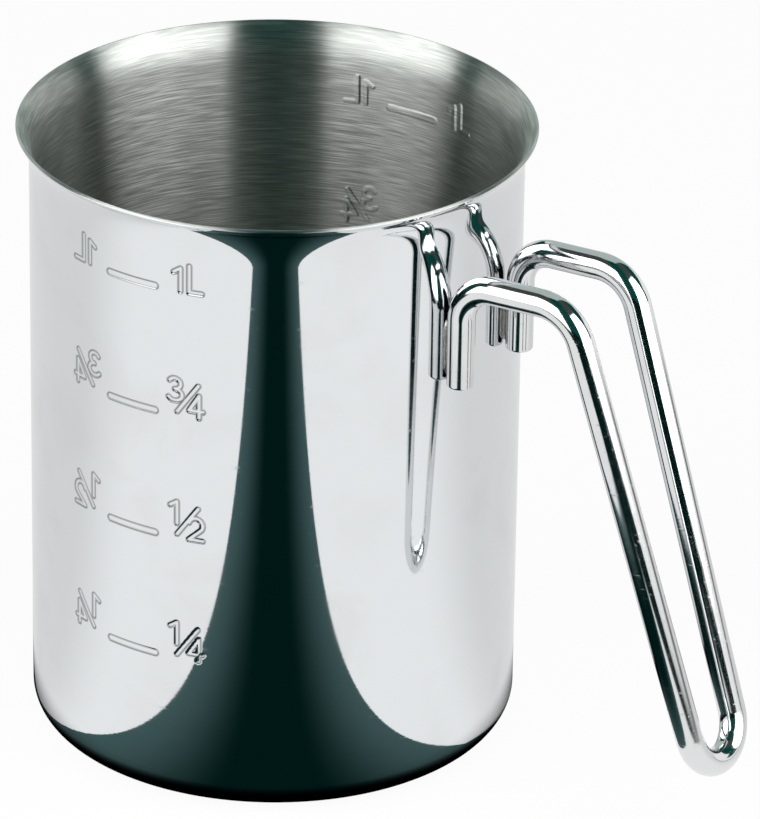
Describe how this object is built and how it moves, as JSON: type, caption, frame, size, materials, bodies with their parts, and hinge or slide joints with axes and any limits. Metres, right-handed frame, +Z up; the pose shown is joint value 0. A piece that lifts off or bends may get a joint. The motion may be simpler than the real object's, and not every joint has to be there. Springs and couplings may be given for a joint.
{
  "type": "measuring jug",
  "caption": "Straight-sided polished steel measuring jug with an out-turned pouring lip, volume marks pressed into the wall and a bent wire handle welded on by its legs.",
  "frame": {"origin": "on the table at the middle of the base, on the cup's axis", "axes": "+Z up along the cup's axis, +X from the axis towards the handle, +Y to the left of someone who looks from the axis along +X; the two sets of marks face -Y and +Y"},
  "size_m": [0.1749, 0.112, 0.1395],
  "materials": {
    "sheet_steel": "mirror polished outside, brushed round the inside",
    "wire_steel": "mirror polished",
    "weld_steel": "satin"
  },
  "bodies": {
    "root": {"jug_body": "sheet_steel", "handle_wire": "wire_steel", "left_leg_weld": "weld_steel", "right_leg_weld": "weld_steel"}
  },
  "joints": []
}
